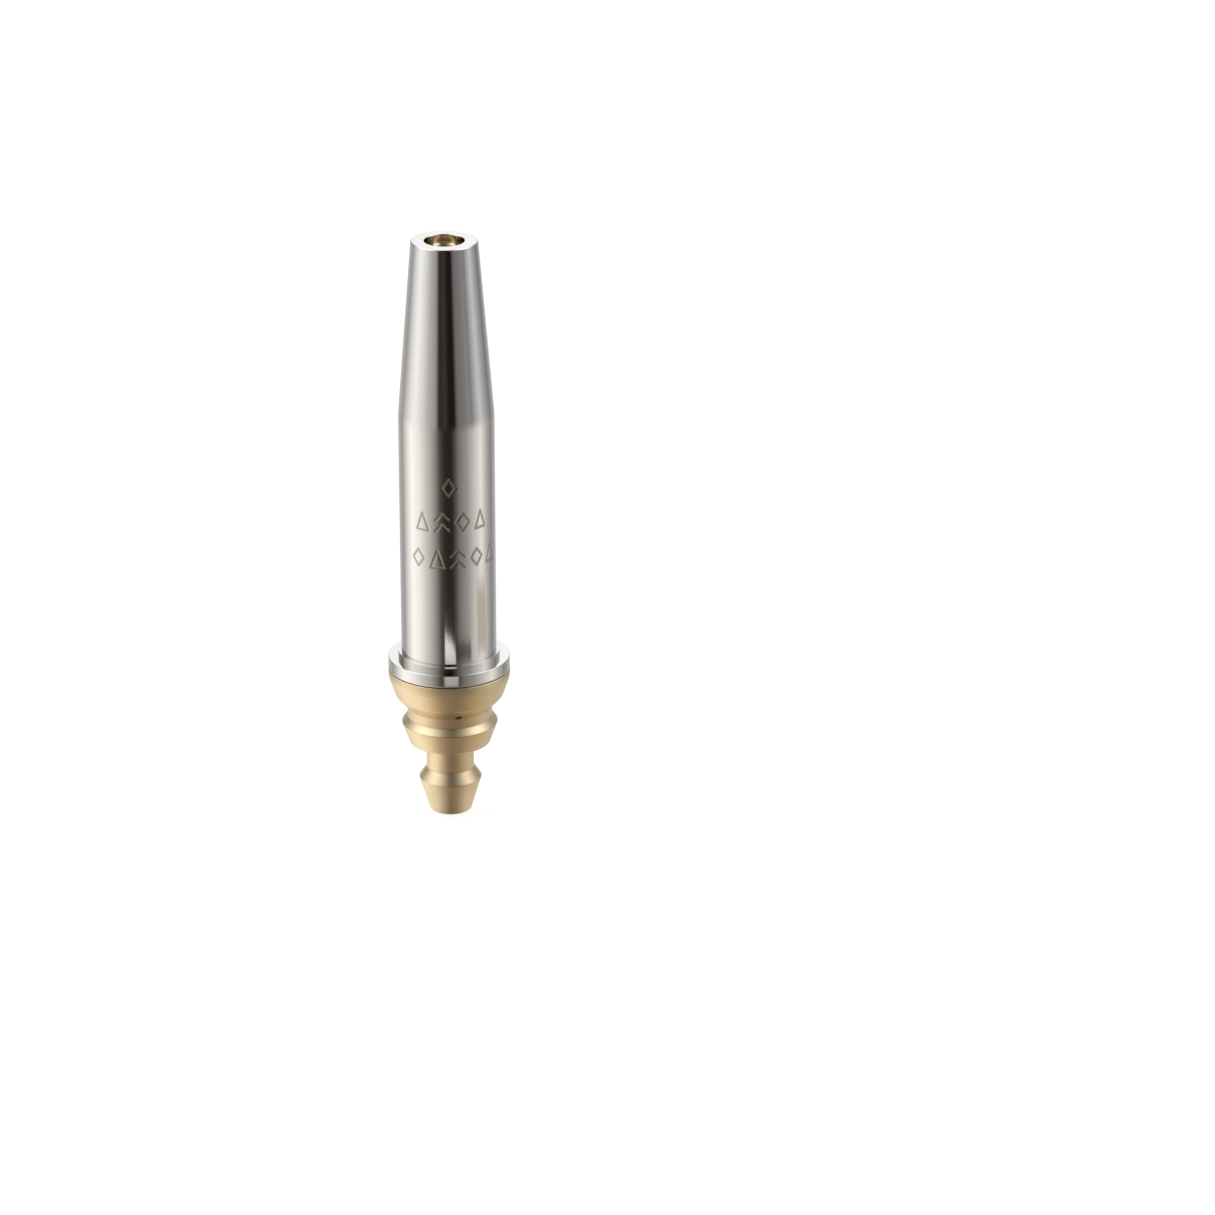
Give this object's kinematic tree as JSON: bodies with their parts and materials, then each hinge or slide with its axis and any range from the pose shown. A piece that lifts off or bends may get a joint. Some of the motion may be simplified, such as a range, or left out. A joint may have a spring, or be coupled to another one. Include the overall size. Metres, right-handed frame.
{
  "type": "gas cutting nozzle",
  "caption": "Slender gas cutting nozzle: a plated, tapered sleeve with a collar over a brass core that has stepped tapered seats at one end and a fluted, recessed tip.",
  "frame": {"origin": "centre of the small end face of the cutting-oxygen seat, the end that goes into the cutter's head", "axes": "+Z along the nozzle's axis to the flame end; -Y is the front, where the sleeve is marked"},
  "size_m": [0.0184, 0.0184, 0.0908],
  "materials": {
    "chrome_plate": "bright polished plating over copper",
    "seat_brass": "fine turned, satin bright",
    "spindle_brass": "fine turned, bright"
  },
  "bodies": {
    "core": {"seat_head": "seat_brass", "fluted_spindle": "spindle_brass"},
    "sleeve": {"outer_sleeve": "chrome_plate"}
  },
  "joints": [
    {"name": "sleeve_pull", "type": "slide", "parent": "core", "child": "sleeve", "axis": [0, 0, 1], "range_m": [0, 0.07]}
  ]
}
